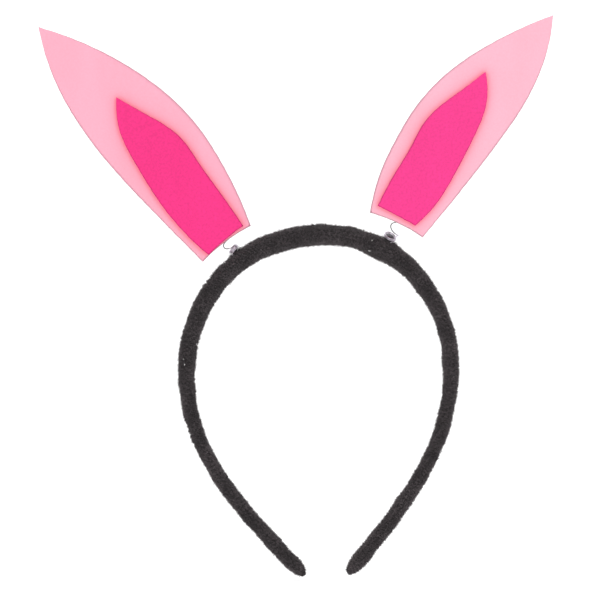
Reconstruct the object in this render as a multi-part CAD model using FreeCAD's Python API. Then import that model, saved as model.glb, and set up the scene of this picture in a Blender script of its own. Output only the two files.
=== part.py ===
import FreeCAD, Part
import math
import os

# Animal ears headband: a padded, plush-covered hoop with two flat ears, each ear held up by
# one wire spring.  Millimetres.  +Z is up, -Y is the front (the side that the bright inner
# ears face), and the origin is on the underside of the crown, where it rests on the head.

# ---- hoop: centreline from the middle of the crown down to one tip ----
CROWN_RADIUS = 59.4
CROWN_DROP = 90.0                 # degrees of arc from the top to the widest point
SIDE_STRAIGHT = 4.0
LEG_ARCS = ((70.0, 16.0), (106.0, 16.5), (200.0, 9.0))    # (radius, degrees) down the leg
TIP_STRAIGHT = 23.0

# ---- hoop: the padded band's section, an oval ----
CROWN_THICKNESS = 9.4             # from the head outwards
LEG_THICKNESS = 6.6
CROWN_WIDTH = 12.5                # front to back
LEG_WIDTH = 9.0
TAPER_START = 15.0                # distance from the middle of the crown
TAPER_END = 115.0
TIP_ROUND = 7.0                   # length of the rounded tip
STATION_STEP = 6.0                # spacing of the sections along the hoop

# ---- hoop: layers ----
SLEEVE_SKIN = 1.0
CORE_CROWN = (2.0, 8.5)           # thickness and width of the plastic core at the crown
CORE_LEG = (1.6, 5.5)
CORE_END_GAP = 5.0                # the core stops this far short of the tip
CORE_TIP_ROUND = 3.0

# ---- spring wire ----
WIRE_RADIUS = 0.25
SEAT_GAP = 0.12                   # the lowest turn clears the plush by this much
HOLE_GAP = 0.15                   # all round the wire, where it passes through the band
HOLE_LENGTHENING = 1.0            # a hole runs on past the wire's end by this much
HOOK_DEPTH = 2.4                  # the bent foot lies this far under the core's middle
HOOK_LENGTH = 3.0
HOOK_BEND = 1.0                   # radius
RISE_TOP = -0.6                   # the straight run through the band ends at this height
POINTS_PER_TURN = 12
SHORT_STEP = 0.3                  # sets the wire's direction where the coil meets a straight run
PIVOT_HEIGHT = 1.5                # height of the joints above the band

# ---- ears ----
EAR_SHEET = 2.0
INNER_SHEET = 1.8
FILM = 0.1                        # the inner ear's self-adhesive backing

# Each spring: angle from the top of the crown (degrees, positive to the right), radius of the
# first and the last turn, first angle round the coil, number of turns, rise for each turn, lean
# of the turns forwards and to the left, the open turn's points (along the band, backwards, away
# from the band), and the straight run up the ear's back, from its first point to the wire's end.
SPRINGS = {
    "left": {
        "angle": -34.4,
        "radii": (2.5, 2.15),
        "start": 225.0,
        "turns": 2.64,
        "pitch": 0.56,
        "lean": (10.0, 10.0),
        "tail": ((-1.9, 1.75, 3.45), (-2.7, 1.35, 4.1), (-2.95, 1.0, 5.0), (-2.4, 0.75, 6.0),
                 (-1.0, 0.5, 6.55), (1.0, 0.35, 6.8), (3.0, 0.35, 7.5)),
        "run": ((4.0, 0.35, 9.3), (3.6, 0.35, 15.2)),
    },
    "right": {
        "angle": 30.4,
        "radii": (2.7, 2.6),
        "start": 300.0,
        "turns": 2.23,
        "pitch": 0.62,
        "lean": (31.0, 0.0),
        "tail": ((2.75, 1.9, 4.4), (3.15, 2.8, 4.8), (2.75, 3.6, 4.95), (1.6, 3.8, 5.0),
                 (0.1, 3.3, 5.35), (-1.2, 2.5, 6.1), (-2.0, 1.6, 7.1), (-2.05, 0.9, 8.1),
                 (-1.4, 0.5, 9.0), (-0.3, 0.35, 9.8)),
        "run": ((1.1, 0.35, 11.8), (1.5, 0.35, 18.0)),
    },
}

# Each ear: where the middle of its base is (X, Z), its tilt from vertical (degrees, positive
# to the right) and its outlines.  An outline's points are (up the ear, towards the middle of
# the hoop); a minus sign is towards the outside.  Both sides start at a base corner and end
# at the tip.  Between the corners the base edge is hollow by the amount given last.
EARS = {
    "left": {
        "base": (-39.9, 2.0),
        "tilt": -39.0,
        "outer_in": ((-0.9, 13.3), (18.0, 19.5), (36.0, 23.3), (55.0, 24.8), (79.0, 21.6),
                     (104.0, 13.2), (128.5, 0.0)),
        "outer_out": ((1.0, -13.4), (30.0, -15.3), (60.0, -16.4), (86.0, -14.6),
                      (108.0, -9.4), (128.5, 0.0)),
        "outer_hollow": 1.1,
        "inner_in": ((1.2, 10.7), (18.0, 12.6), (36.0, 14.3), (47.0, 15.5), (56.0, 14.4),
                     (68.0, 10.4), (81.6, 5.6)),
        "inner_out": ((1.4, -9.4), (18.0, -11.1), (36.0, -10.2), (55.0, -7.1), (70.0, -2.7),
                      (81.6, 5.6)),
        "inner_hollow": 0.5,
    },
    "right": {
        "base": (36.55, 7.75),
        "tilt": 38.8,
        "outer_in": ((-2.6, 12.7), (14.5, 19.7), (32.5, 23.4), (50.5, 24.7), (72.0, 21.5),
                     (95.0, 12.6), (117.4, 0.0)),
        "outer_out": ((2.6, -12.7), (30.0, -14.0), (57.5, -14.4), (79.0, -13.3),
                      (98.0, -9.2), (117.4, 0.0)),
        "outer_hollow": 1.1,
        "inner_in": ((1.9, 11.8), (18.0, 14.3), (32.0, 15.7), (44.0, 17.4), (53.0, 16.4),
                     (66.0, 12.6), (78.6, 9.1)),
        "inner_out": ((4.8, -6.9), (18.0, -8.6), (36.0, -6.9), (54.0, -3.8), (66.0, -0.4),
                      (78.6, 9.1)),
        "inner_hollow": 0.1,
    },
}

# ---- glue beads ----
ANCHOR_BEAD = (1.75, 1.5)         # radius and height inside the coil
EAR_BEAD = (3.8, 3.0, 1.5)        # half length, half width and height on the ear's back

# ---- gathering stitches at each tip ----
STITCH_RADIUS = 0.3
STITCH_TURN = 30.0                # angle from one stitch to the next
STITCH_COUNT = 6
STITCH_LENGTH = 3.4

CROWN_CENTRE_Z = CROWN_THICKNESS / 2 - CROWN_RADIUS


def at(x, y, z):
    return FreeCAD.Vector(x, y, z)


# ---------------------------------------------------------------- hoop

def half_path():
    """The centreline's pieces from the crown to a tip, as (radius, length); no radius is a line."""
    pieces = [(CROWN_RADIUS, CROWN_RADIUS * math.radians(CROWN_DROP)), (None, SIDE_STRAIGHT)]
    for radius, degrees in LEG_ARCS:
        pieces.append((radius, radius * math.radians(degrees)))
    pieces.append((None, TIP_STRAIGHT))
    return pieces


HALF_LENGTH = sum(length for radius, length in half_path())


def centreline(distance):
    """Point (x, z) and heading at a distance from the crown's middle, on the +X side."""
    x = 0.0
    z = CROWN_THICKNESS / 2
    heading = 0.0
    left = distance
    for radius, length in half_path():
        step = min(left, length)
        if radius is None:
            x += step * math.cos(heading)
            z -= step * math.sin(heading)
        else:
            turn = step / radius
            x += radius * (math.sin(heading + turn) - math.sin(heading))
            z -= radius * (math.cos(heading) - math.cos(heading + turn))
            heading += turn
        left -= step
        if left <= 0:
            break
    return x, z, heading


def tapered(crown, leg, distance):
    part = (distance - TAPER_START) / (TAPER_END - TAPER_START)
    return crown + (leg - crown) * min(max(part, 0.0), 1.0)


def crossing(distance, side):
    """Where the hoop's section lies at a distance from the crown's middle: local X front to
    back, Y away from the head and Z along the hoop towards the side's tip."""
    x, z, heading = centreline(distance)
    out = at(side * math.sin(heading), 0, math.cos(heading))
    along = at(side * math.cos(heading), 0, -math.sin(heading))
    turned = FreeCAD.Rotation(at(0, side, 0), out, along, "XYZ")
    return FreeCAD.Placement(at(side * x, 0, z), turned)


def oval(distance, side, thickness, width):
    """A closed oval wire across the hoop."""
    ellipse = Part.Ellipse(at(0, 0, 0), width / 2, thickness / 2)
    wire = Part.Wire([ellipse.toShape()])
    wire.Placement = crossing(distance, side)
    return wire


def rounded_end(distance, side, size, length):
    """Half an ellipsoid that closes the hoop's end."""
    half_ball = Part.makeSphere(1.0, at(0, 0, 0), at(0, 0, 1), 0, 90, 360)
    stretch = FreeCAD.Matrix()
    stretch.scale(size[1] / 2, size[0] / 2, length)
    cap = half_ball.transformGeometry(stretch)
    cap.Placement = crossing(distance, side)
    return cap


def hoop_solid(crown, leg, end, tip_round):
    """The band from tip to tip.  crown and leg are (thickness, width) and end is the distance
    from the crown's middle to the solid's rounded tip."""
    tube_end = end - tip_round
    steps = round(tube_end / STATION_STEP)
    sections = []
    for i in range(-steps, steps + 1):
        distance = tube_end * abs(i) / steps
        thickness = tapered(crown[0], leg[0], distance)
        width = tapered(crown[1], leg[1], distance)
        section = oval(distance, 1, thickness, width)
        if i < 0:
            section = section.mirror(at(0, 0, 0), at(1, 0, 0))
        sections.append(section)
    tube = Part.makeLoft(sections, True, True)
    ends = [rounded_end(tube_end, side, leg, tip_round) for side in (-1, 1)]
    return tube.fuse(ends)


def less_skin(size):
    return (size[0] - 2 * SLEEVE_SKIN, size[1] - 2 * SLEEVE_SKIN)


def make_hoop(holes):
    """The three layers of the band, each with the wires' holes through it."""
    crown = (CROWN_THICKNESS, CROWN_WIDTH)
    leg = (LEG_THICKNESS, LEG_WIDTH)
    whole = hoop_solid(crown, leg, HALF_LENGTH, TIP_ROUND)
    stuffed = hoop_solid(less_skin(crown), less_skin(leg), HALF_LENGTH - SLEEVE_SKIN,
                         TIP_ROUND - SLEEVE_SKIN)
    core = hoop_solid(CORE_CROWN, CORE_LEG, HALF_LENGTH - CORE_END_GAP, CORE_TIP_ROUND)
    layers = {
        "plush_sleeve": whole.cut(stuffed).cut(holes),
        "foam_padding": stuffed.cut(core).cut(holes),
        "plastic_core": core.cut(holes),
    }
    return whole, layers


# ---------------------------------------------------------------- springs

def spring_place(spec):
    """Local axes at a spring's foot: X along the band to the right, Y back, Z off the band."""
    angle = math.radians(spec["angle"])
    distance = CROWN_RADIUS * abs(angle)
    surface = CROWN_RADIUS + tapered(CROWN_THICKNESS, LEG_THICKNESS, distance) / 2
    foot = at(surface * math.sin(angle), 0, CROWN_CENTRE_Z + surface * math.cos(angle))
    along = at(math.cos(angle), 0, -math.sin(angle))
    off = at(math.sin(angle), 0, math.cos(angle))
    return FreeCAD.Placement(foot, FreeCAD.Rotation(along, at(0, 1, 0), off, "XYZ"))


def coil_point(spec, share):
    """A point of the coil; share runs from 0 at the foot to 1 at the top.  The wire comes up on
    the coil's low side, and every turn leans by the same amount."""
    radius = spec["radii"][0] + (spec["radii"][1] - spec["radii"][0]) * share
    angle = math.radians(spec["start"] + 360.0 * spec["turns"] * share)
    right = radius * math.cos(angle)
    back = radius * math.sin(angle)
    forward_lean, left_lean = (math.tan(math.radians(degrees)) for degrees in spec["lean"])
    opening = (back + radius) * forward_lean + (right + radius) * left_lean
    height = SEAT_GAP + WIRE_RADIUS + spec["pitch"] * spec["turns"] * share + opening
    return at(right, back, height)


def foot_edges(spec, extra):
    """The wire under the coil: a hook below the core, and the run up through the band.  extra
    lengthens both of its ends."""
    start = coil_point(spec, 0)
    under = -CROWN_THICKNESS / 2 - HOOK_DEPTH
    corner = at(start.x, start.y, under)
    bend_in = corner - at(HOOK_BEND, 0, 0)
    bend_out = corner + at(0, 0, HOOK_BEND)
    shift = HOOK_BEND * (1 - math.sqrt(0.5))
    bend_middle = corner + at(-shift, 0, shift)
    hook_end = corner - at(HOOK_LENGTH + extra, 0, 0)
    top = at(start.x, start.y, RISE_TOP + extra)
    return [
        Part.LineSegment(hook_end, bend_in).toShape(),
        Part.Arc(bend_in, bend_middle, bend_out).toShape(),
        Part.LineSegment(bend_out, top).toShape(),
    ]


def coil_edge(spec):
    """From the top of the foot, round the coil and the open turn, to the run up the ear."""
    steps = round(POINTS_PER_TURN * spec["turns"])
    coil = [coil_point(spec, i / steps) for i in range(1, steps + 1)]
    foot = coil_point(spec, 0)
    foot_top = at(foot.x, foot.y, RISE_TOP)
    tail = [at(*point) for point in spec["tail"]]
    run_start, run_end = [at(*point) for point in spec["run"]]
    upward = (run_end - run_start).normalize()
    points = [foot_top, foot_top + at(0, 0, SHORT_STEP)] + coil + tail
    points += [run_start - upward * SHORT_STEP, run_start]
    curve = Part.BSplineCurve()
    curve.interpolate(points)
    return curve.toShape()


def swept(edges, radius):
    first = edges[0]
    start = first.valueAt(first.FirstParameter)
    direction = first.tangentAt(first.FirstParameter)
    ring = Part.Wire([Part.Circle(start, direction, radius).toShape()])
    return Part.Wire(edges).makePipeShell([ring], True, True)


def make_spring(spec):
    """The whole wire, the clearance that its foot needs in the band, and the groove that its
    end needs in the bead on the ear."""
    run_start, run_end = [at(*point) for point in spec["run"]]
    run = Part.LineSegment(run_start, run_end).toShape()
    upward = (run_end - run_start).normalize()
    fat = WIRE_RADIUS + HOLE_GAP
    wire = swept(foot_edges(spec, 0) + [coil_edge(spec), run], WIRE_RADIUS)
    hole = swept(foot_edges(spec, HOLE_LENGTHENING), fat)
    groove_length = run.Length + 2 * HOLE_LENGTHENING
    groove = Part.makeCylinder(fat, groove_length, run_start - upward * HOLE_LENGTHENING, upward)
    for shape in (wire, hole, groove):
        shape.Placement = spring_place(spec)
    return wire, hole, groove


def make_anchor_glue(spec, band):
    """The drop of glue inside the coil, sitting on the plush."""
    radius, height = ANCHOR_BEAD
    stem = Part.makeCylinder(radius, height, at(0, 0, -height / 2))
    dome = Part.makeSphere(radius, at(0, 0, height / 2))
    bead = stem.fuse(dome)
    bead.Placement = spring_place(spec)
    return bead.cut(band)


# ---------------------------------------------------------------- ears

def ear_place(spec):
    """Local axes of an ear: X up the ear, Y towards the middle of the hoop, Z through it."""
    tilt = math.radians(spec["tilt"])
    inward = -math.copysign(1.0, tilt)
    up = at(math.sin(tilt), 0, math.cos(tilt))
    towards = at(inward * math.cos(tilt), 0, -inward * math.sin(tilt))
    base = at(spec["base"][0], 0, spec["base"][1])
    return FreeCAD.Placement(base, FreeCAD.Rotation(up, towards, up.cross(towards), "XYZ"))


def side_curve(points):
    curve = Part.BSplineCurve()
    curve.interpolate([at(up, across, 0) for up, across in points])
    return curve.toShape()


def base_arc(first, last, hollow):
    """The hollow lower edge between the two base corners."""
    middle = at((first[0] + last[0]) / 2 + hollow, (first[1] + last[1]) / 2, 0)
    return Part.Arc(at(first[0], first[1], 0), middle, at(last[0], last[1], 0)).toShape()


def outline(inner_side, outer_side, hollow):
    base = base_arc(outer_side[0], inner_side[0], hollow)
    edges = [side_curve(inner_side), side_curve(outer_side), base]
    return Part.Wire(Part.sortEdges(edges)[0])


def sheet(wire, place, front, thickness):
    """A flat sheet whose front face is at Y = front, extruded backwards."""
    face = Part.Face(wire)
    face.Placement = place
    face.translate(at(0, front, 0))
    return face.extrude(at(0, thickness, 0))


def make_ear(spec):
    place = ear_place(spec)
    outer_wire = outline(spec["outer_in"], spec["outer_out"], spec["outer_hollow"])
    inner_wire = outline(spec["inner_in"], spec["inner_out"], spec["inner_hollow"])
    film_front = -EAR_SHEET - FILM
    return {
        "ear_outer": sheet(outer_wire, place, -EAR_SHEET, EAR_SHEET),
        "ear_adhesive": sheet(inner_wire, place, film_front, FILM),
        "ear_inner": sheet(inner_wire, place, film_front - INNER_SHEET, INNER_SHEET),
    }


def make_ear_glue(spring, groove):
    """Half an ellipsoid of glue on the ear's back, over the wire's straight run."""
    run_start, run_end = [at(*point) for point in spring["run"]]
    middle = (run_start + run_end) * 0.5
    half_length, half_width, height = EAR_BEAD
    half_ball = Part.makeSphere(1.0, at(0, 0, 0), at(0, 0, 1), 0, 90, 360)
    stretch = FreeCAD.Matrix()
    stretch.scale(half_width, half_length, height)
    bead = half_ball.transformGeometry(stretch)
    turned = FreeCAD.Rotation(at(-1, 0, 0), run_end - run_start, at(0, 1, 0), "YZX")
    local = FreeCAD.Placement(at(middle.x, 0, middle.z), turned)
    bead.Placement = spring_place(spring).multiply(local)
    return bead.cut(groove)


# ---------------------------------------------------------------- stitches

def make_stitches(side, band):
    """Short threads crossed over the gathered tip of the sleeve."""
    x, z, heading = centreline(HALF_LENGTH - STITCH_RADIUS)
    along = at(side * math.cos(heading), 0, -math.sin(heading))
    out = at(side * math.sin(heading), 0, math.cos(heading))
    tip = at(side * x, 0, z)
    back = at(0, 1, 0)
    threads = []
    for i in range(STITCH_COUNT):
        angle = math.radians(STITCH_TURN * i)
        across = out * math.cos(angle) + back * math.sin(angle)
        start = tip - across * (STITCH_LENGTH / 2)
        threads.append(Part.makeCylinder(STITCH_RADIUS, STITCH_LENGTH, start, across))
    star = threads[0].fuse(threads[1:])
    return star.cut(band)


# ---------------------------------------------------------------- assembly

def build():
    wires = {side: make_spring(spec) for side, spec in SPRINGS.items()}
    holes = wires["left"][1].fuse(wires["right"][1])
    band, nodes = make_hoop(holes)
    for side, (wire, hole, groove) in wires.items():
        nodes["spring_" + side] = wire
        nodes["anchor_glue_" + side] = make_anchor_glue(SPRINGS[side], band)
        nodes["ear_glue_" + side] = make_ear_glue(SPRINGS[side], groove)
        for name, shape in make_ear(EARS[side]).items():
            nodes[name + "_" + side] = shape
        nodes["end_stitches_" + side] = make_stitches(-1 if side == "left" else 1, band)
    return nodes


def main():
    os.makedirs("parts", exist_ok=True)
    for name, shape in build().items():
        shape.exportStep("parts/" + name + ".step")
        box = shape.optimalBoundingBox(False)
        sides = (box.XMin, box.XMax, box.YMin, box.YMax, box.ZMin, box.ZMax)
        print(name, len(shape.Solids), "solid", "valid" if shape.isValid() else "NOT VALID",
              round(shape.Volume, 2), "mm3", [round(value, 2) for value in sides])
    for side, spec in SPRINGS.items():
        place = spring_place(spec)
        pivot = place.multVec(at(0, 0, PIVOT_HEIGHT))
        along = place.Rotation.multVec(at(1, 0, 0))
        print(side, "pivot", [round(v, 3) for v in pivot], "nod axis", [round(v, 4) for v in along])


main()
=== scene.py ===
import math

import bmesh
import bpy
import numpy as np
from mathutils import Matrix, Vector


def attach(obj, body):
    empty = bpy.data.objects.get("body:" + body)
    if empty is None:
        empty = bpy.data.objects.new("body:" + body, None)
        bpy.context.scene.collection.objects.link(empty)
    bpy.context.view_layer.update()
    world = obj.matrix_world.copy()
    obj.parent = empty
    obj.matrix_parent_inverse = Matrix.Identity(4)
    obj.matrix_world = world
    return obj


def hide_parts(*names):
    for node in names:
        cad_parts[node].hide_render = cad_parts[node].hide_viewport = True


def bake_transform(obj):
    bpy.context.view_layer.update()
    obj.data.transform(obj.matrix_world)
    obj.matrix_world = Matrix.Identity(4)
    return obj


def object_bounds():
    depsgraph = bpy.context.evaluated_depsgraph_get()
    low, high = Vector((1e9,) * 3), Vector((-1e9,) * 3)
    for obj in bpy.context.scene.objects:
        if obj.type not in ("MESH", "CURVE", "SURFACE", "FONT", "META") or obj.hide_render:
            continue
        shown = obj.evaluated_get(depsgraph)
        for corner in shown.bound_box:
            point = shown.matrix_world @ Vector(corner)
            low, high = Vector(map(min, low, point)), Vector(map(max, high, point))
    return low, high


# Animal ears headband: the looks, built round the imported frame.  Dimensions and points are in
# millimetres, and mesh_object turns them into metres.  +Z is up and -Y is the front.  A signed
# distance along the band runs from the middle of the crown, positive towards the right tip.

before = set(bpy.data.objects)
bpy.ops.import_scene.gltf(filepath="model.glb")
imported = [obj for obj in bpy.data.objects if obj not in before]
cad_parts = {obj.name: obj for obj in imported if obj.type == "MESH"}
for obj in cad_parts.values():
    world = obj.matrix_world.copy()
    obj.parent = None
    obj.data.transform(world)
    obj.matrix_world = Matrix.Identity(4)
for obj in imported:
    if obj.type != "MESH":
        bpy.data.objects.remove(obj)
CAD_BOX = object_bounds()

MM = 0.001

# ---- camera ----
VIEW_CENTRE = (-7.9, 0.0, -24.5)      # the point in the middle of the picture
VIEW_DISTANCE = 900.0
VIEW_ROLL = 2.0                       # degrees: the hoop leans to the left by this much
LENS = 120.0                          # millimetres, on a 36 mm sensor

# ---- hoop, as in the part ----
CROWN_RADIUS = 59.4
CROWN_DROP = 90.0
SIDE_STRAIGHT = 4.0
LEG_ARCS = ((70.0, 16.0), (106.0, 16.5), (200.0, 9.0))
TIP_STRAIGHT = 23.0
CROWN_THICKNESS = 9.4
LEG_THICKNESS = 6.6
CROWN_WIDTH = 12.5
LEG_WIDTH = 9.0
TAPER_START = 15.0
TAPER_END = 115.0
TIP_ROUND = 7.0

# ---- plush cover ----
LEG_BOW = 0.7                         # the legs bow to the left by this much
BOW_DEPTH = 175.0                     # the bow would end at this depth below the crown
BACKING_SINK = 0.4                    # the knitted backing lies this far inside the pile's surface
BACKING_THICKNESS = 0.5
PADDING_GAP = 0.1                     # between the backing and the padding under it
RING_STEP = 0.8
RING_SIDES = 56
TIP_RINGS = 14
TIP_CLOSURE = 0.985                   # the share of the tip's quarter turn that the rings cover
LUMP_HEIGHT = 0.22
LUMP_LENGTH = 14.0
DIMPLE_HEIGHT = 0.16
DIMPLE_LENGTH = 2.2
# Where the cover is pulled flat or bulges: (distance, how far out the outer side goes, how far
# out the inner side goes).  Between two rows the change is smooth.
COVER_SHAPE = ((-201.9, 0.0, 0.0), (-118.0, 0.1, 0.3), (-100.0, 0.4, 0.2), (-76.0, -0.2, -0.8),
               (-55.0, 0.0, -0.3), (-40.0, 0.3, 0.1), (-30.0, 0.0, 0.0), (-14.0, -0.5, -0.5),
               (5.0, -0.1, 0.0), (20.0, 0.4, 0.7), (31.0, 0.8, -0.5), (42.0, 0.7, 0.3),
               (60.0, 0.0, 0.4), (90.0, 0.0, 0.3), (115.0, 0.0, 0.0), (201.9, 0.0, 0.0))

# ---- pile ----
HAIR_PIECES = 3
HAIRS_PER_PIECE = 44000
HAIR_LENGTH = (0.6, 1.1)
HAIR_RADIUS = 0.085
HAIR_SINK = 0.1                       # a hair starts this far inside the backing
HAIR_SCATTER = 0.38
TUFT_LEAN = 0.7
TUFT_LENGTH = 1.6
TUFT_RISE = 0.3                       # a tuft's hairs are longer or shorter by this share
NAP_LEAN = 0.25                       # the pile strokes down towards the tips
STRAY_SHARE = 0.10                    # this share of the hairs is longer
STRAY_EXTRA = 0.8                     # by this share of their length
COLLAR_REACH = 4.2                    # the pile stands higher this close to a coil's axis
COLLAR_EXTRA = 1.0                    # by this share of its length

# ---- lint caught in the pile: (distance, angle round the band, length, heading in degrees) ----
LINT = ((-81.0, 216.0, 2.3, 20.0), (-87.9, 284.0, 0.4, 0.0), (-90.2, 278.0, 0.6, 20.0),
        (-41.8, 312.0, 0.8, 120.0), (25.2, 287.0, 0.4, 90.0), (26.0, 240.0, 1.0, 0.0))
LINT_RADIUS = 0.14
LINT_HEIGHT = 0.95                    # it lies this far outside the pile's mean surface
LINT_BEND = 0.25                      # the share of its length by which a fibre curves
LINT_POINTS = 9
LINT_SIDES = 6

# ---- springs, as in the part ----
# Points and heights are in a spring's own axes: along the band to the right, back, off the band.
# split is the height where the wire's two lengths meet, and ear_height marks where the wire meets
# the ear.  bead is the coil glue's three half sizes and the height of its middle.
WIRE_RADIUS = 0.25
SEAT_GAP = 0.12
HOOK_DEPTH = 2.4
HOOK_LENGTH = 3.0
HOOK_BEND = 1.0
RISE_TOP = -0.6
RISE_REACH = (-2.0, 0.0, 0.3)         # heights of the straight riser's points from its top
POINTS_PER_TURN = 12
WIRE_SIDES = 14
WIRE_STEP = 0.12
SPRINGS = {
    "left": {
        "angle": -34.4,
        "radii": (2.5, 2.15),
        "start": 225.0,
        "turns": 2.64,
        "pitch": 0.56,
        "lean": (10.0, 10.0),
        "tail": ((-1.9, 1.75, 3.45), (-2.7, 1.35, 4.1), (-2.95, 1.0, 5.0), (-2.4, 0.75, 6.0),
                 (-1.0, 0.5, 6.55), (1.0, 0.35, 6.8), (3.0, 0.35, 7.5)),
        "run": ((4.0, 0.35, 9.3), (3.6, 0.35, 15.2)),
        "split": 3.2,
        "ear_height": 5.4,
        "bead": ((1.95, 1.95, 1.2), 1.25),
    },
    "right": {
        "angle": 30.4,
        "radii": (2.7, 2.6),
        "start": 300.0,
        "turns": 2.23,
        "pitch": 0.62,
        "lean": (31.0, 0.0),
        "tail": ((2.75, 1.9, 4.4), (3.15, 2.8, 4.8), (2.75, 3.6, 4.95), (1.6, 3.8, 5.0),
                 (0.1, 3.3, 5.35), (-1.2, 2.5, 6.1), (-2.0, 1.6, 7.1), (-2.05, 0.9, 8.1),
                 (-1.4, 0.5, 9.0), (-0.3, 0.35, 9.8)),
        "run": ((1.1, 0.35, 11.8), (1.5, 0.35, 18.0)),
        "split": 5.0,
        "ear_height": 8.5,
        "bead": ((2.4, 2.5, 1.25), 2.0),
    },
}

# ---- ears, as in the part ----
EAR_SHEET = 2.0
INNER_SHEET = 1.8
FILM = 0.1
EDGE_ROUND = 0.08                     # radius of the sheets' cut edges
FILM_ROUND = 0.02
EDGE_WOBBLE = 0.05                    # how far scissors wander from the line
WOBBLE_LENGTH = 5.0
WARP = 0.18                           # the sheets are flat to within this
WARP_LENGTH = 60.0
OUTLINE_STEP = 0.5
MITRE_LIMIT = 3.0                     # a sharp corner moves no further than this times the inset
BOUNCE_PAINT_REACH = 1.5                      # how far the hot pink's painted bounced light reaches over the light pink
EAR_ROWS = 150
EAR_COLUMNS = 30
# base is the base point (x, z), and tilt is in degrees.  Outline points are (up the ear, towards the
# hoop's middle): _in is the side nearer that middle and _out the other one.  _hollow is how far the
# base edge rises between its corners, and _flat is the flat sheet's width, length and area.
EARS = {
    "left": {
        "base": (-39.9, 2.0),
        "tilt": -39.0,
        "outer_in": ((-0.9, 13.3), (18.0, 19.5), (36.0, 23.3), (55.0, 24.8), (79.0, 21.6),
                     (104.0, 13.2), (128.5, 0.0)),
        "outer_out": ((1.0, -13.4), (30.0, -15.3), (60.0, -16.4), (86.0, -14.6),
                      (108.0, -9.4), (128.5, 0.0)),
        "outer_hollow": 1.1,
        "inner_in": ((1.2, 10.7), (18.0, 12.6), (36.0, 14.3), (47.0, 15.5), (56.0, 14.4),
                     (68.0, 10.4), (81.6, 5.6)),
        "inner_out": ((1.4, -9.4), (18.0, -11.1), (36.0, -10.2), (55.0, -7.1), (70.0, -2.7),
                      (81.6, 5.6)),
        "inner_hollow": 0.5,
        "outer_flat": (41.2, 128.5, 4013.0),
        "inner_flat": (26.6, 81.0, 1594.0),
    },
    "right": {
        "base": (36.55, 7.75),
        "tilt": 38.8,
        "outer_in": ((-2.6, 12.7), (14.5, 19.7), (32.5, 23.4), (50.5, 24.7), (72.0, 21.5),
                     (95.0, 12.6), (117.4, 0.0)),
        "outer_out": ((2.6, -12.7), (30.0, -14.0), (57.5, -14.4), (79.0, -13.3),
                      (98.0, -9.2), (117.4, 0.0)),
        "outer_hollow": 1.1,
        "inner_in": ((1.9, 11.8), (18.0, 14.3), (32.0, 15.7), (44.0, 17.4), (53.0, 16.4),
                     (66.0, 12.6), (78.6, 9.1)),
        "inner_out": ((4.8, -6.9), (18.0, -8.6), (36.0, -6.9), (54.0, -3.8), (66.0, -0.4),
                      (78.6, 9.1)),
        "inner_hollow": 0.1,
        "outer_flat": (39.1, 120.0, 3530.0),
        "inner_flat": (26.5, 76.5, 1424.0),
    },
}

# ---- glue ----
EAR_BEAD = (3.8, 3.0, 1.5)            # half its length up the ear, half its width, its height
EAR_BEAD_OUT = 0.1                    # its middle lies this far behind the ear's back
BLOB_RINGS = 24
BLOB_SIDES = 32
BLOB_POLE = 0.03                      # radians from a pole to its first ring
COIL_LUMPS = 0.05                     # how uneven a drop is, as a share of its size
EAR_LUMPS = 0.06

# ---- gathering stitches ----
STITCH_TURN = 30.0
STITCH_COUNT = 6
STITCH_LENGTH = 3.4
PLY_RADIUS = 0.10
PLY_SPREAD = 0.085
PLY_SIDES = 7
PLY_TURNS = 2.5                       # twists of the two plies along one stitch
STITCH_POINTS = 25
STITCH_LIFT = 0.2                     # a stitch's middle lies this far outside the pile's surface
STITCH_DIVE = 0.9                     # its ends go this much further in

# ---- seeds of what is random ----
LUMP_SEED = 11
DIMPLE_SEED = 12
TUFT_SEEDS = (21, 22, 23)
WARP_SEED = 31
WOBBLE_SEED = 32
COIL_GLUE_SEED = 41
WIRE_GLUE_SEED = 42
PILE_SEED = 100                       # each piece of the pile adds its number

# ---- colours, as linear red, green and blue; a pair is dark and light ----
# the pile runs from painted shade at its roots to painted light at its tips
PLUSH_ROOT_PAINTED_SHADE = (0.020, 0.017, 0.018)
PLUSH_TIP_PAINTED_LIGHT = (0.175, 0.148, 0.156)
# one copy of each pink per ear: the right ear's is painted lighter, as painted light on its tilted
# sheet
LIGHT_PINK_LIT_PER_EAR = {"left": (0.95, 0.43, 0.545), "right": (0.95, 0.478, 0.586)}
PAINTED_BOUNCE_PINK = (1.0, 0.33, 0.41)         # painted bounced light from the hot pink sheet, on the light pink beside it
CUT_PINK_PAINTED_LIGHT = (1.0, 0.78, 0.83)          # the light sheet's cut edge, painted light on its rounded rim
# the right ear's hot pink is painted lighter as well: painted light
HOT_PINK_LIT_PER_EAR = {"left": (0.93, 0.0345, 0.241), "right": (0.93, 0.046, 0.275)}
HOT_CUT_PAINTED_SHADE = 0.95                  # painted shade on the hot pink sheet's cut edge, against its face
LIGHT_CELLS = {"grain": 0.05, "depth": 0.05}
HOT_CELLS = {"grain": 0.14, "depth": 0.08}
FILM_COLOURS = ((0.92, 0.40, 0.45), (0.98, 0.52, 0.56))
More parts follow.
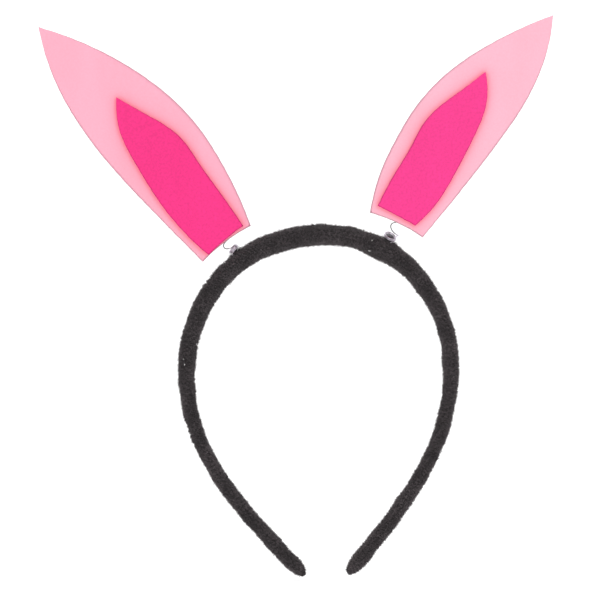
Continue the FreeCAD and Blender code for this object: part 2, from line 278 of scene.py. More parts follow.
# one steel wire in two painted tones: the coil's lilac light is painted reflection, the tail's dark is
# painted shade
COIL_WIRE_PAINTED_LIGHT = ((0.50, 0.46, 0.52), (0.72, 0.67, 0.74))
TAIL_WIRE_PAINTED_SHADE = ((0.19, 0.18, 0.19), (0.30, 0.29, 0.30))
COIL_GLUE = ((0.008, 0.006, 0.010), (0.035, 0.025, 0.040))
WIRE_GLUE = ((0.72, 0.69, 0.68), (0.88, 0.86, 0.84))
WIRE_GLUE_CLEAR = 0.25                # the share of light that passes through
BLACK_THREAD = ((0.03, 0.028, 0.03), (0.10, 0.09, 0.10))
LINT_FIBRE = ((0.85, 0.82, 0.82), (0.98, 0.96, 0.96))
CORE_BLACK = ((0.010, 0.010, 0.011), (0.022, 0.022, 0.024))
PADDING_GREY = ((0.10, 0.10, 0.11), (0.20, 0.20, 0.21))

# ---- stage and lights ----
FLOOR_GAP = 1.5                       # the floor lies this far below the band's tips
SWEEP_HALF = 2500.0
SWEEP_START = 600.0                   # where the floor starts to curve up
SWEEP_RADIUS = 500.0
SWEEP_POINTS = 13
SWEEP_GREY = 0.5
SWEEP_GLOW = 0.7
WORLD_STRENGTH = 0.69
LIGHTS = {                            # place, power in watts, size
    "key": ((500.0, -1100.0, 500.0), 2.75, 500.0),
    "fill": ((-700.0, -1000.0, 250.0), 1.5, 600.0),
    "top": ((0.0, 150.0, 1000.0), 3.0, 600.0),
}


def at(*values):
    return np.array(values, float)


# ---------------------------------------------------------------- small mesh tools

def mesh_object(name, points, faces, smooth=True):
    """A mesh piece from points in millimetres."""
    mesh = bpy.data.meshes.new(name)
    mesh.from_pydata((np.asarray(points, float) * MM).tolist(), [], [list(f) for f in faces])
    mesh.validate()
    mesh.polygons.foreach_set("use_smooth", [smooth] * len(mesh.polygons))
    mesh.update()
    piece = bpy.data.objects.new(name, mesh)
    bpy.context.scene.collection.objects.link(piece)
    return piece


def give_attribute(piece, name, values):
    attribute = piece.data.attributes.new(name, "FLOAT", "POINT")
    attribute.data.foreach_set("value", np.asarray(values, np.float32))


def tube_faces(rings, sides, closed_ends=True):
    """Quads between rings of points, with a fan of one polygon at each end."""
    faces = []
    for i in range(rings - 1):
        for j in range(sides):
            k = (j + 1) % sides
            faces.append((i * sides + j, i * sides + k, (i + 1) * sides + k, (i + 1) * sides + j))
    if closed_ends:
        faces.append(tuple(reversed(range(sides))))
        faces.append(tuple(range((rings - 1) * sides, rings * sides)))
    return faces


def spline(points, step):
    """A smooth curve through the points, sampled about every step.  Cubic, by chord length, with
    end directions from the parabola through the three points at each end."""
    points = np.asarray(points, float)
    chord = np.linalg.norm(np.diff(points, axis=0), axis=1)
    knots = np.concatenate([[0.0], np.cumsum(chord)])
    slopes = np.diff(points, axis=0) / chord[:, None]
    count = len(points)
    system = np.zeros((count, count))
    right = np.zeros((count, points.shape[1]))
    system[0, 0] = system[-1, -1] = 1.0
    right[0] = slopes[0] - (slopes[1] - slopes[0]) * chord[0] / (chord[0] + chord[1])
    right[-1] = slopes[-1] + (slopes[-1] - slopes[-2]) * chord[-1] / (chord[-1] + chord[-2])
    for i in range(1, count - 1):
        system[i, i - 1] = chord[i]
        system[i, i] = 2 * (chord[i - 1] + chord[i])
        system[i, i + 1] = chord[i - 1]
        right[i] = 3 * (slopes[i - 1] * chord[i] + slopes[i] * chord[i - 1])
    tangents = np.linalg.solve(system, right)
    samples = np.linspace(0.0, knots[-1], max(2, round(knots[-1] / step) + 1))
    span = np.clip(np.searchsorted(knots, samples, side="right") - 1, 0, count - 2)
    width = chord[span][:, None]
    t = (samples - knots[span])[:, None] / width
    return ((1 + 2 * t) * (1 - t) ** 2 * points[span] + t * (1 - t) ** 2 * width * tangents[span]
            + t * t * (3 - 2 * t) * points[span + 1] - t * t * (1 - t) * width * tangents[span + 1])


def tube(path, radius, sides, end_round=0.0):
    """Points of a round tube along a path, with a frame that doesn't twist.  The first and the
    last ring are smaller by end_round."""
    path = np.asarray(path, float)
    tangents = np.gradient(path, axis=0)
    tangents /= np.linalg.norm(tangents, axis=1)[:, None]
    start = np.cross(tangents[0], (0.3, 0.9, 0.2))
    normal = start / np.linalg.norm(start)
    angles = np.linspace(0, 2 * math.pi, sides, endpoint=False)
    rings = []
    for i, (point, tangent) in enumerate(zip(path, tangents)):
        normal = normal - tangent * np.dot(normal, tangent)
        normal /= np.linalg.norm(normal)
        side = np.cross(tangent, normal)
        size = radius - end_round if i in (0, len(path) - 1) else radius
        ring = np.outer(np.cos(angles), normal) + np.outer(np.sin(angles), side)
        rings.append(point + size * ring)
    return np.concatenate(rings)


def waves(points, length, seed):
    """A smooth random height, about -1 to 1, whose bumps are about length apart."""
    random = np.random.default_rng(seed)
    total = np.zeros(len(points))
    count = 9
    for _ in range(count):
        direction = random.normal(size=3)
        direction *= 2 * math.pi / length / np.linalg.norm(direction) * random.uniform(0.7, 1.5)
        total += np.sin(points @ direction + random.uniform(0, 2 * math.pi))
    return total / math.sqrt(count)


# ---------------------------------------------------------------- the band's surface

def half_path():
    """Arcs and straights from the crown's middle to a tip: (radius or None, length)."""
    pieces = [(CROWN_RADIUS, CROWN_RADIUS * math.radians(CROWN_DROP)), (None, SIDE_STRAIGHT)]
    for radius, degrees in LEG_ARCS:
        pieces.append((radius, radius * math.radians(degrees)))
    pieces.append((None, TIP_STRAIGHT))
    return pieces


HALF_LENGTH = sum(length for radius, length in half_path())
TUBE_END = HALF_LENGTH - TIP_ROUND


def centreline(distance):
    """Point (x, z) and heading at a distance from the crown's middle, on the +X side."""
    x = 0.0
    z = CROWN_THICKNESS / 2
    heading = 0.0
    left = distance
    for radius, length in half_path():
        step = min(left, length)
        if radius is None:
            x += step * math.cos(heading)
            z -= step * math.sin(heading)
        else:
            turn = step / radius
            x += radius * (math.sin(heading + turn) - math.sin(heading))
            z -= radius * (math.cos(heading) - math.cos(heading + turn))
            heading += turn
        left -= step
        if left <= 0:
            break
    return x, z, heading


LINE_DISTANCES = np.linspace(0.0, HALF_LENGTH, 1600)
LINE = np.array([centreline(d) for d in LINE_DISTANCES])


def eased(rows, column, distance):
    """A smooth value between the rows of a table whose first column is the distance."""
    table = np.asarray(rows, float)
    span = np.clip(np.searchsorted(table[:, 0], distance, side="right") - 1, 0, len(table) - 2)
    t = np.clip((distance - table[span, 0]) / (table[span + 1, 0] - table[span, 0]), 0, 1)
    t = t * t * (3 - 2 * t)
    return table[span, column] * (1 - t) + table[span + 1, column] * t


def band_surface(distance, angle, sink=0.0):
    """Points that lie sink inside the pile's surface, outward normals and directions towards the
    tip.  angle is 0 away from the head, 90 degrees at the back, 180 towards the head and 270 at
    the front."""
    side = np.where(distance < 0, -1.0, 1.0)
    reach = np.abs(distance)
    along_tube = np.minimum(reach, TUBE_END)
    x, z, heading = (np.interp(along_tube, LINE_DISTANCES, LINE[:, i]) for i in range(3))
    out = np.stack([side * np.sin(heading), 0 * x, np.cos(heading)], 1)
    along = np.stack([side * np.cos(heading), 0 * x, -np.sin(heading)], 1)
    back = at(0, 1, 0)
    part = np.clip((along_tube - TAPER_START) / (TAPER_END - TAPER_START), 0, 1)
    thick = (CROWN_THICKNESS + (LEG_THICKNESS - CROWN_THICKNESS) * part) / 2
    wide = (CROWN_WIDTH + (LEG_WIDTH - CROWN_WIDTH) * part) / 2
    rise = np.clip((reach - TUBE_END) / TIP_ROUND, 0, 1)
    shrink = np.sqrt(1 - rise ** 2)
    c, s = np.cos(angle), np.sin(angle)
    outer_shift, inner_shift = (eased(COVER_SHAPE, column, distance) for column in (1, 2))
    shift = np.where(c > 0, outer_shift, inner_shift) * c * c
    bow = LEG_BOW * np.sin(math.pi * np.clip(-z / BOW_DEPTH, 0, 1))
    centre = np.stack([side * x - bow, 0 * x, z], 1)
    points = (centre + out * (thick * shrink * c + shift)[:, None]
              + back * (wide * shrink * s)[:, None] + along * (TIP_ROUND * rise)[:, None])
    normals = (out * (shrink * c / thick)[:, None] + back * (shrink * s / wide)[:, None]
               + along * (rise / TIP_ROUND)[:, None])
    normals /= np.linalg.norm(normals, axis=1)[:, None]
    height = (LUMP_HEIGHT * waves(points, LUMP_LENGTH, LUMP_SEED)
              + DIMPLE_HEIGHT * waves(points, DIMPLE_LENGTH, DIMPLE_SEED))
    return points + normals * (height - sink)[:, None], normals, along


def ring_distances():
    """Signed distances of the cover's rings, closer together round the tips."""
    steps = round(TUBE_END / RING_STEP)
    tube_part = np.linspace(0, TUBE_END, steps + 1)
    tip_part = TUBE_END + TIP_ROUND * np.sin(np.linspace(0, TIP_CLOSURE * math.pi / 2, TIP_RINGS))[1:]
    half = np.concatenate([tube_part, tip_part])
    return np.concatenate([-half[:0:-1], half])


def cover_points(sink):
    """Rings of points that lie sink inside the pile's surface, and how many rings there are."""
    distances = ring_distances()
    angles = np.linspace(0, 2 * math.pi, RING_SIDES, endpoint=False)
    grid_distance = np.repeat(distances, RING_SIDES)
    grid_angle = np.tile(angles, len(distances))
    return band_surface(grid_distance, grid_angle, sink)[0], len(distances)


def make_cover(material):
    """The plush cover's backing: a closed skin with an outer and an inner wall."""
    outer, rings = cover_points(BACKING_SINK)
    inner, _ = cover_points(BACKING_SINK + BACKING_THICKNESS)
    faces = tube_faces(rings, RING_SIDES)
    inside = [tuple(len(outer) + i for i in reversed(face)) for face in faces]
    cover = mesh_object("plush_cover", np.concatenate([outer, inner]), faces + inside)
    # the backing takes the roots' colour: painted shade under the pile
    give_attribute(cover, "tip", np.zeros(len(outer) * 2))
    cover.data.materials.append(material)
    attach(cover, "band")
    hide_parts("plush_sleeve")


def make_padding(material):
    """The soft tube inside the cover, which gives the band its thickness."""
    points, rings = cover_points(BACKING_SINK + BACKING_THICKNESS + PADDING_GAP)
    padding = mesh_object("padding_tube", points, tube_faces(rings, RING_SIDES))
    padding.data.materials.append(material)
    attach(padding, "band")
    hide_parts("foam_padding")


def make_pile(number, material):
    """One share of the pile: thin closed spikes that lean in tufts."""
    random = np.random.default_rng(PILE_SEED + number)
    count = HAIRS_PER_PIECE
    distance = random.uniform(-HALF_LENGTH, HALF_LENGTH, count)
    angle = random.uniform(0, 2 * math.pi, count)
    roots, normals, along = band_surface(distance, angle, BACKING_SINK)
    sideways = np.cross(normals, along)
    tufts = [waves(roots, TUFT_LENGTH, seed) for seed in TUFT_SEEDS]
    tuft_along = tufts[0] * TUFT_LEAN + NAP_LEAN
    tuft_side = tufts[1] * TUFT_LEAN
    lean = (normals + along * tuft_along[:, None] + sideways * tuft_side[:, None]
            + random.normal(size=(count, 3)) * HAIR_SCATTER)
    lean /= np.linalg.norm(lean, axis=1)[:, None]
    length = random.uniform(*HAIR_LENGTH, count) * (1 + TUFT_RISE * tufts[2])
    length *= 1 + STRAY_EXTRA * (random.random(count) < STRAY_SHARE)
    for spec in SPRINGS.values():
        gap = np.linalg.norm(roots - spring_axes(spec)[0], axis=1)
        length *= 1 + COLLAR_EXTRA * np.clip(1 - (gap / COLLAR_REACH) ** 4, 0, 1)
    across = np.cross(lean, random.normal(size=(count, 3)))
    across /= np.linalg.norm(across, axis=1)[:, None]
    other = np.cross(lean, across)
    corners = []
    for turn in (0, 2 * math.pi / 3, 4 * math.pi / 3):
        outwards = across * math.cos(turn) + other * math.sin(turn)
        corners.append(roots - normals * HAIR_SINK + HAIR_RADIUS * outwards)
    corners.append(roots + lean * length[:, None])
    points = np.stack(corners, 1).reshape(-1, 3)
    first = np.arange(count)[:, None] * 4
    faces = np.concatenate([first + f for f in ((0, 2, 1), (0, 1, 3), (1, 2, 3), (2, 0, 3))])
    pile = mesh_object("plush_pile_%d" % number, points, faces.tolist(), smooth=False)
    # tip is 0 at a hair's root and 1 at its point: painted shade at the roots, painted light at the
    # tips
    give_attribute(pile, "tip", np.tile([0.0, 0.0, 0.0, 1.0], count))
    pile.data.materials.append(material)
    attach(pile, "band")
    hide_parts("plush_sleeve")


def make_lint(material):
    """Stray pale fibres caught in the pile, each a short curved thread."""
    points, faces = [], []
    for number, (distance, angle, length, heading) in enumerate(LINT):
        here = band_surface(at(distance), np.radians(at(angle)), -LINT_HEIGHT)
        place, normal, along = (rows[0] for rows in here)
        turn = math.radians(heading)
        way = along * math.cos(turn) + np.cross(normal, along) * math.sin(turn)
        bend = np.cross(normal, way)
        path = [place + way * length * t + bend * length * LINT_BEND * math.sin(3 * t + number)
                for t in np.linspace(-0.5, 0.5, LINT_POINTS)]
        start = sum(len(p) for p in points)
        points.append(tube(path, LINT_RADIUS, LINT_SIDES, LINT_RADIUS / 2))
        faces += [tuple(start + i for i in face) for face in tube_faces(LINT_POINTS, LINT_SIDES)]
    lint = mesh_object("lint", np.concatenate(points), faces)
    lint.data.materials.append(material)
    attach(lint, "band")


# ---------------------------------------------------------------- springs

def spring_axes(spec):
    """Foot point and the local directions: along the band to the right, back, off the band."""
    angle = math.radians(spec["angle"])
    part = (CROWN_RADIUS * abs(angle) - TAPER_START) / (TAPER_END - TAPER_START)
    thickness = CROWN_THICKNESS + (LEG_THICKNESS - CROWN_THICKNESS) * min(max(part, 0.0), 1.0)
    surface = CROWN_RADIUS + thickness / 2
    foot = at(surface * math.sin(angle), 0,
              CROWN_THICKNESS / 2 - CROWN_RADIUS + surface * math.cos(angle))
    axes = np.array([(math.cos(angle), 0, -math.sin(angle)), (0, 1, 0),
                     (math.sin(angle), 0, math.cos(angle))])
    return foot, axes


def to_frame(spec, local):
    """Points in a spring's own axes as points of the frame."""
    foot, axes = spring_axes(spec)
    return foot + np.asarray(local, float) @ axes


def coil_point(spec, share):
    """The coil's wire at a share of its length, in the spring's own axes."""
    radius = spec["radii"][0] + (spec["radii"][1] - spec["radii"][0]) * share
    angle = math.radians(spec["start"] + 360.0 * spec["turns"] * share)
    right = radius * math.cos(angle)
    back = radius * math.sin(angle)
    forward_lean, left_lean = (math.tan(math.radians(degrees)) for degrees in spec["lean"])
    opening = (back + radius) * forward_lean + (right + radius) * left_lean
    height = SEAT_GAP + WIRE_RADIUS + spec["pitch"] * spec["turns"] * share + opening
    return (right, back, height)


def wire_path(spec):
    """The whole wire in the spring's own axes: foot, coil, open turn and straight end."""
    steps = round(POINTS_PER_TURN * spec["turns"])
    coil = [coil_point(spec, i / steps) for i in range(1, steps + 1)]
    x, y, _ = coil_point(spec, 0)
    under = -CROWN_THICKNESS / 2 - HOOK_DEPTH
    hook = [(x - HOOK_LENGTH, y, under), (x - HOOK_BEND * 1.5, y, under)]
    hook += [(x - HOOK_BEND * (1 - math.sin(t)), y, under + HOOK_BEND * (1 - math.cos(t)))
             for t in np.radians((0, 30, 60, 90))]
    rise = [(x, y, RISE_TOP + height) for height in RISE_REACH]
    run_start, run_end = (at(*p) for p in spec["run"])
    run = [run_start + (run_end - run_start) * t for t in (0, 0.25, 0.5, 0.75, 1.0)]
    return spline(hook + rise + coil + list(spec["tail"]) + run, WIRE_STEP)


def make_spring(side, materials):
    """Two lengths of one wire, parted where it rises past the split height: the coil, and the rest
    up to the ear."""
    spec = SPRINGS[side]
    split = spec["split"]
    path = wire_path(spec)
    past = np.nonzero(path[:, 2] > split)[0][0]
    lengths = {"coil": path[:past + 1], "tail": path[past:]}
    for part, line in lengths.items():
        points = tube(to_frame(spec, line), WIRE_RADIUS, WIRE_SIDES)
        piece = mesh_object("spring_%s_%s" % (part, side), points, tube_faces(len(line), WIRE_SIDES))
        # the coil and the tail take lit and shaded copies of the one wire's colour
        piece.data.materials.append(materials["wire_" + part])
        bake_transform(piece)
        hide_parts("spring_" + side)


# ---------------------------------------------------------------- ears

def ear_axes(spec):
    """Base point and the local directions: up the ear and towards the middle of the hoop."""
    tilt = math.radians(spec["tilt"])
    inward = -math.copysign(1.0, tilt)
    base = at(spec["base"][0], 0, spec["base"][1])
    up = at(math.sin(tilt), 0, math.cos(tilt))
    towards = at(inward * math.cos(tilt), 0, -inward * math.sin(tilt))
    return base, up, towards


def base_arc(first, last, hollow, count):
    """The hollow lower edge between the two base corners."""
    share = np.linspace(0, 1, count)[:, None]
    rise = np.concatenate([4 * hollow * share * (1 - share), 0 * share], 1)
    return at(*first) * (1 - share) + at(*last) * share + rise


def resample(line, count):
    """The same line with count evenly spaced points."""
    step = np.concatenate([[0], np.cumsum(np.linalg.norm(np.diff(line, axis=0), axis=1))])
    wanted = np.linspace(0, step[-1], count)
    return np.stack([np.interp(wanted, step, line[:, i]) for i in (0, 1)], 1)


def ear_loop(spec, kind):
    """The closed outline: up the side nearer the hoop's middle, down the other, along the base."""
    inner_side, outer_side = spec[kind + "_in"], spec[kind + "_out"]
    up = resample(spline(inner_side, OUTLINE_STEP), EAR_ROWS + 1)
    down = resample(spline(outer_side, OUTLINE_STEP), EAR_ROWS + 1)[::-1]
    base = base_arc(outer_side[0], inner_side[0], spec[kind + "_hollow"], EAR_COLUMNS + 1)
    return np.concatenate([up[:-1], down[:-1], base[:-1]])


def inset(loop, depth):
    """The loop moved inwards by depth, with sharp corners kept in bounds."""
    before = loop - np.roll(loop, 1, axis=0)
    after = np.roll(loop, -1, axis=0) - loop
    turned = []
    for edge in (before, after):
        edge = edge / np.linalg.norm(edge, axis=1)[:, None]
        turned.append(np.stack([-edge[:, 1], edge[:, 0]], 1))
    normal = turned[0] + turned[1]
    normal /= np.linalg.norm(normal, axis=1)[:, None]
    reach = np.minimum(1 / np.clip((normal * turned[0]).sum(1), 0.01, 1), MITRE_LIMIT)
    return loop + normal * (depth * reach)[:, None]


def patch(loop):
    """Rows of points inside a loop, from its base to its tip."""
    right = loop[:EAR_ROWS + 1]
    left = np.concatenate([loop[EAR_ROWS:2 * EAR_ROWS], loop[2 * EAR_ROWS:2 * EAR_ROWS + 1]])[::-1]
    base = np.concatenate([loop[2 * EAR_ROWS:], loop[:1]])
    share = np.linspace(0, 1, EAR_COLUMNS + 1)[None, :, None]
    height = np.linspace(0, 1, EAR_ROWS + 1)[:, None, None]
    ruled = left[:, None] * (1 - share) + right[:, None] * share
    chord = base[0] * (1 - share) + base[-1] * share
    return ruled + (base[None] - chord) * (1 - height) ** 3


def ear_points(side, flat, y):
    """Flat ear points into the frame, at depth y, with the sheets' slight warp."""
    base, up, towards = ear_axes(EARS[side])
    points = base + np.outer(flat[:, 0], up) + np.outer(flat[:, 1], towards)
    points[:, 1] = y + WARP * waves(points, WARP_LENGTH, WARP_SEED)
    return points


def painted_bounce_light(flat, edge_loop):
    """1 beside a sheet's edge, falling to 0 away from it: where the hot pink's bounced light is painted
    on what lies near it.
    """
    gap = np.full(len(flat), 1e9)
    for start in range(0, len(edge_loop), 40):
        steps = flat[:, None] - edge_loop[None, start:start + 40]
        gap = np.minimum(gap, np.linalg.norm(steps, axis=2).min(1))
    return np.exp(-gap / BOUNCE_PAINT_REACH)


def wall_faces(rings, count):
    """Quads between closed rings of count points each, from the front to the back."""
    faces = []
    for i in range(rings - 1):
        for j in range(count):
            k = (j + 1) % count
            faces.append((i * count + j, (i + 1) * count + j, (i + 1) * count + k, i * count + k))
    return faces


def grid_faces(start, rows, columns, turned):
    """Quads of a grid whose first point is number start, wound the other way if turned."""
    faces = []
    for i in range(rows - 1):
        for j in range(columns - 1):
            a = start + i * columns + j
            quad = (a, a + 1, a + columns + 1, a + columns)
            faces.append(quad[::-1] if turned else quad)
    return faces


def edge_levels(front, thickness, rounding):
    """(inset, y) of the rings round a sheet's edge, from the front face to the back face."""
    quarter_turn = np.radians((0, 30, 60, 90))
    profile = [(rounding * (1 - math.sin(t)), rounding * (1 - math.cos(t))) for t in quarter_turn]
    levels = [(depth, front + inward) for depth, inward in profile]
    return levels + [(depth, front + thickness - inward) for depth, inward in reversed(profile)]


def make_sheet(name, side, kind, front, thickness, material, rounding):
    """A sheet of foam or film: front and back grids with a rounded cut edge between them."""
    spec = EARS[side]
    loop = ear_loop(spec, kind)
    in_space = np.concatenate([loop, 0 * loop[:, :1]], 1)
    wander = EDGE_WOBBLE * waves(in_space, WOBBLE_LENGTH, WOBBLE_SEED)
    loop = loop + (inset(loop, 1.0) - loop) * wander[:, None]
    levels = edge_levels(front, thickness, rounding)
    rings = [inset(loop, depth) for depth, _ in levels]
    face = patch(rings[0])
    rows, columns = face.shape[:2]
    flats = rings + [face.reshape(-1, 2)] * 2
    places = [y for _, y in levels] + [front, front + thickness]
    points = np.concatenate([ear_points(side, flat, y) for flat, y in zip(flats, places)])
    count = len(loop)
    walls = len(rings) * count
    faces = wall_faces(len(rings), count)
    faces += grid_faces(walls, rows, columns, False)
    faces += grid_faces(walls + rows * columns, rows, columns, True)
    piece = mesh_object(name, points, faces)
    # the cut edge rings: painted light on the light pink sheet's rim, painted shade on the hot pink
    # sheet's rim
    cut = np.zeros(len(points))
    cut[count:walls - count] = 1.0
    give_attribute(piece, "edge", cut)
    # painted bounced light from the hot pink sheet, on the outer sheet's front
    if kind == "outer":
        front_side = points[:, 1] < front + thickness / 2
        painted_bounce = painted_bounce_light(np.concatenate(flats), ear_loop(spec, "inner"))
        give_attribute(piece, "painted_bounce", painted_bounce * front_side)
    merge(piece)
    piece.data.materials.append(material)
    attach(piece, side + "_ear")
    return piece


def merge(piece):
    """Joins points that lie on each other, and turns every face outwards."""
    mesh = bmesh.new()
    mesh.from_mesh(piece.data)
    bmesh.ops.remove_doubles(mesh, verts=mesh.verts, dist=0.002 * MM)
    bmesh.ops.recalc_face_normals(mesh, faces=mesh.faces)
    mesh.to_mesh(piece.data)
    mesh.free()


def make_ear(side, materials):
    film_front = -EAR_SHEET - FILM
    outer = make_sheet("ear_sheet_" + side, side, "outer", -EAR_SHEET, EAR_SHEET,
                       materials["light_" + side], EDGE_ROUND)
    inner = make_sheet("inner_sheet_" + side, side, "inner", film_front - INNER_SHEET, INNER_SHEET,
                       materials["hot_" + side], EDGE_ROUND)
    film = make_sheet("backing_film_" + side, side, "inner", film_front, FILM,
                      materials["film"], FILM_ROUND)
    for piece, node, slot, flat in ((outer, "ear_outer_", "light_pink_sheet", "outer_flat"),
                                    (inner, "ear_inner_", "hot_pink_sheet", "inner_flat"),
                                    (film, "ear_adhesive_", "adhesive", "inner_flat")):
        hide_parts(node + side)


# ---------------------------------------------------------------- glue

def blob(name, centre, axes, sizes, lumps, seed, material, body, node):
    """A rounded drop of glue: a ball of rings, squashed to its three sizes and made uneven."""
    angles = np.linspace(0, 2 * math.pi, BLOB_SIDES, endpoint=False)
    points = []
    for t in np.linspace(BLOB_POLE, math.pi - BLOB_POLE, BLOB_RINGS):
        ring = np.stack([math.sin(t) * np.cos(angles), math.sin(t) * np.sin(angles),
                         np.full(BLOB_SIDES, math.cos(t))], 1)
        points.append(ring)
    unit = np.concatenate(points)
    swell = 1 + lumps * waves(unit * 2, 1.9, seed)
    local = unit * swell[:, None] * at(*sizes)
    piece = mesh_object(name, centre + local @ axes, tube_faces(BLOB_RINGS, BLOB_SIDES))
    merge(piece)
    piece.data.materials.append(material)
    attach(piece, body)
    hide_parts(node)


def make_glue(side, materials):
    spec = SPRINGS[side]
    foot, axes = spring_axes(spec)
    forward, left = np.radians(spec["lean"])
    tilted = np.array([(math.cos(left), 0, math.sin(left)), (0, math.cos(forward), math.sin(forward))])
    tilted = np.concatenate([tilted, [np.cross(*tilted)]])
    sizes, height = spec["bead"]
    blob("coil_glue_" + side, foot + axes[2] * height, tilted @ axes, sizes, COIL_LUMPS,
         COIL_GLUE_SEED, materials["coil_glue"], "band", "anchor_glue_" + side)
    run_start, run_end = (at(*p) for p in spec["run"])
    upward = (run_end - run_start) / np.linalg.norm(run_end - run_start)
    half_length, half_width, bead_height = EAR_BEAD
    middle = (run_start + run_end) / 2
    centre = to_frame(spec, at(middle[0], EAR_BEAD_OUT, middle[2]))
    up = upward @ axes
    back = at(0, 1, 0)
    across = np.cross(back, up)
    blob("wire_glue_" + side, centre, np.array([across, back, up]),
         (half_width, bead_height, half_length), EAR_LUMPS, WIRE_GLUE_SEED,
         materials["wire_glue"], side + "_ear", "ear_glue_" + side)


# ---------------------------------------------------------------- stitches

def make_stitches(side, material):
    """Two-ply threads crossed over the gathered tip."""
    sign = -1.0 if side == "left" else 1.0
    half = STITCH_LENGTH / 2
    points, faces = [], []
    for i in range(STITCH_COUNT):
        turn = math.radians(STITCH_TURN * i)
        offsets = np.linspace(-half, half, STITCH_POINTS)
        semi = math.hypot(LEG_THICKNESS / 2 * math.cos(turn), LEG_WIDTH / 2 * math.sin(turn))
        rise = np.sqrt(1 - (offsets / semi) ** 2)
        distance = sign * (TUBE_END + TIP_ROUND * rise)
        angle = np.where(offsets < 0, turn + math.pi, turn)
        line, normals, _ = band_surface(distance, angle, 0.0)
        lift = STITCH_LIFT - STITCH_DIVE * (np.abs(offsets) / half) ** 6
        line = line + normals * lift[:, None]
        for ply in (0, math.pi):
            twist = np.linspace(0, 2 * math.pi * PLY_TURNS, STITCH_POINTS) + ply
            sideways = np.cross(normals, np.gradient(line, axis=0))
            sideways /= np.linalg.norm(sideways, axis=1)[:, None]
            path = (line + PLY_SPREAD * (sideways * np.cos(twist)[:, None]
                                         + normals * np.sin(twist)[:, None]))
            start = sum(len(p) for p in points)
            points.append(tube(path, PLY_RADIUS, PLY_SIDES))
            faces += [tuple(start + k for k in face) for face in tube_faces(STITCH_POINTS, PLY_SIDES)]
    piece = mesh_object("tip_stitches_" + side, np.concatenate(points), faces)
    piece.data.materials.append(material)
    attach(piece, "band")
    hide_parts("end_stitches_" + side)


# ---------------------------------------------------------------- materials

def new_material(name, rough, specular=0.5):
    material = bpy.data.materials.new(name)
    material.use_nodes = True
    shader = material.node_tree.nodes["Principled BSDF"]
    shader.inputs["Roughness"].default_value = rough
    shader.inputs["Specular IOR Level"].default_value = specular
    return material, material.node_tree, shader


def noise_node(tree, size, detail=3.0, stretch=(1, 1, 1)):
    """A noise whose features are about size millimetres across."""
    where = tree.nodes.new("ShaderNodeTexCoord")
    mapping = tree.nodes.new("ShaderNodeMapping")
    mapping.inputs["Scale"].default_value = [s / (size * MM) / 2 for s in stretch]
    texture = tree.nodes.new("ShaderNodeTexNoise")
    texture.inputs["Scale"].default_value = 1.0
    texture.inputs["Detail"].default_value = detail
    tree.links.new(where.outputs["Object"], mapping.inputs["Vector"])
    tree.links.new(mapping.outputs["Vector"], texture.inputs["Vector"])
    return texture


def ramp_node(tree, source, stops):
    ramp = tree.nodes.new("ShaderNodeValToRGB")
    elements = ramp.color_ramp.elements
    while len(elements) < len(stops):
        elements.new(0.5)
    for element, (place, colour) in zip(elements, stops):
        element.position = place
        element.color = (*colour, 1.0)
    tree.links.new(source, ramp.inputs["Fac"])
    return ramp.outputs["Color"]


def mix_node(tree, first, second, factor, how="MIX"):
    """first and second are outputs or colours; factor is an output or a number."""
    mix = tree.nodes.new("ShaderNodeMix")
    mix.data_type = "RGBA"
    mix.blend_type = how
    sockets = {"Factor": mix.inputs[0], "A": mix.inputs[6], "B": mix.inputs[7]}
    for key, value in (("A", first), ("B", second), ("Factor", factor)):
        if isinstance(value, bpy.types.NodeSocket):
            tree.links.new(value, sockets[key])
        elif key == "Factor":
            sockets[key].default_value = value
        else:
            sockets[key].default_value = (*value, 1.0)
    return mix.outputs[2]


def bump_node(tree, source, height, shader, after=None):
    bump = tree.nodes.new("ShaderNodeBump")
    bump.inputs["Distance"].default_value = height * MM
    bump.inputs["Strength"].default_value = 1.0
    tree.links.new(source, bump.inputs["Height"])
    if after is not None:
        tree.links.new(after, bump.inputs["Normal"])
    tree.links.new(bump.outputs["Normal"], shader.inputs["Normal"])
    return bump.outputs["Normal"]


def attribute_node(tree, name):
    node = tree.nodes.new("ShaderNodeAttribute")
    node.attribute_name = name
    return node.outputs["Fac"]


def shade(colour, factor):
    return tuple(c * factor for c in colour)


def plush_material():
    """Black pile: roots painted dark as shade deep in the pile, tips painted lighter as light on them,
    brownish and bluish patches, and a soft sheen.
    """
    material, tree, shader = new_material("black_plush", rough=0.85, specular=0.2)
    patches = ramp_node(tree, noise_node(tree, 3.5, detail=4.0).outputs["Fac"],
                        [(0.3, shade(PLUSH_TIP_PAINTED_LIGHT, 0.45)), (0.7, shade(PLUSH_TIP_PAINTED_LIGHT, 1.5))])
    colour = mix_node(tree, PLUSH_ROOT_PAINTED_SHADE, patches, attribute_node(tree, "tip"))
    tree.links.new(colour, shader.inputs["Base Color"])
    shader.inputs["Sheen Weight"].default_value = 0.35
    shader.inputs["Sheen Roughness"].default_value = 0.45
    shader.inputs["Sheen Tint"].default_value = (0.75, 0.70, 0.72, 1.0)
    bump_node(tree, noise_node(tree, 0.3).outputs["Fac"], 0.15, shader)
    return material


